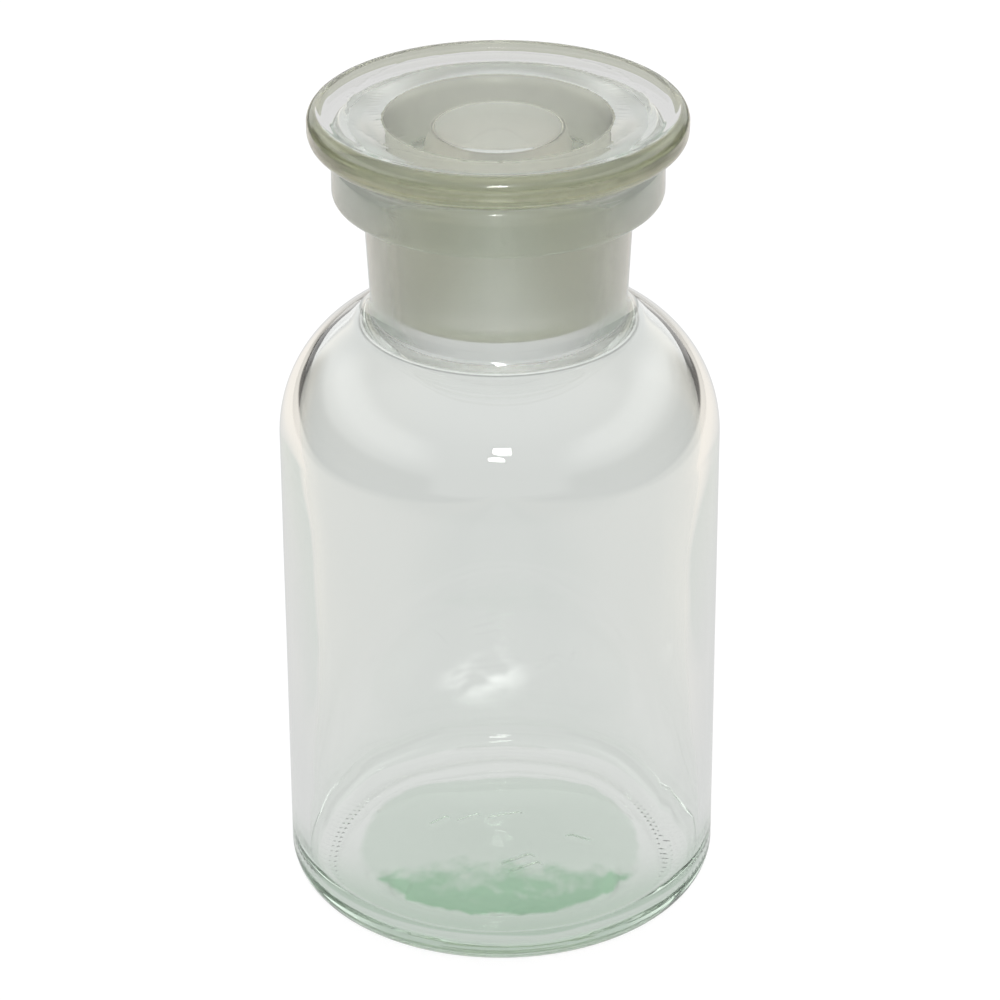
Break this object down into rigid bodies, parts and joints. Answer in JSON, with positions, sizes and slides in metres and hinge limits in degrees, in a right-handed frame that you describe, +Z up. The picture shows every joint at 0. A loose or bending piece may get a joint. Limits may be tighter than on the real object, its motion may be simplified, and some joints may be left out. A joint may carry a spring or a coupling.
{
  "type": "reagent bottle",
  "caption": "Wide-neck clear glass reagent bottle with a rounded shoulder, a flared lip and a hollow flat-topped glass stopper ground into the neck; it stores laboratory chemicals.",
  "frame": {"origin": "on the bottle's axis, in the plane of the bearing ring that it stands on", "axes": "+Z up along the axis of the bottle and stopper; the part is round, so X and Y are any two square directions across it"},
  "size_m": [0.07, 0.07, 0.1353],
  "materials": {
    "bottle_glass": "clear soda-lime glass with a faint blue-green tint, ground socket in the neck",
    "stopper_glass": "pressed clear glass with a faint olive tint, ground plug"
  },
  "bodies": {
    "bottle": {"bottle": "bottle_glass"},
    "stopper": {"stopper": "stopper_glass"}
  },
  "joints": [
    {"name": "stopper_lift", "type": "slide", "parent": "bottle", "child": "stopper", "axis": [0, 0, 1], "range_m": [0, 0.075]}
  ]
}
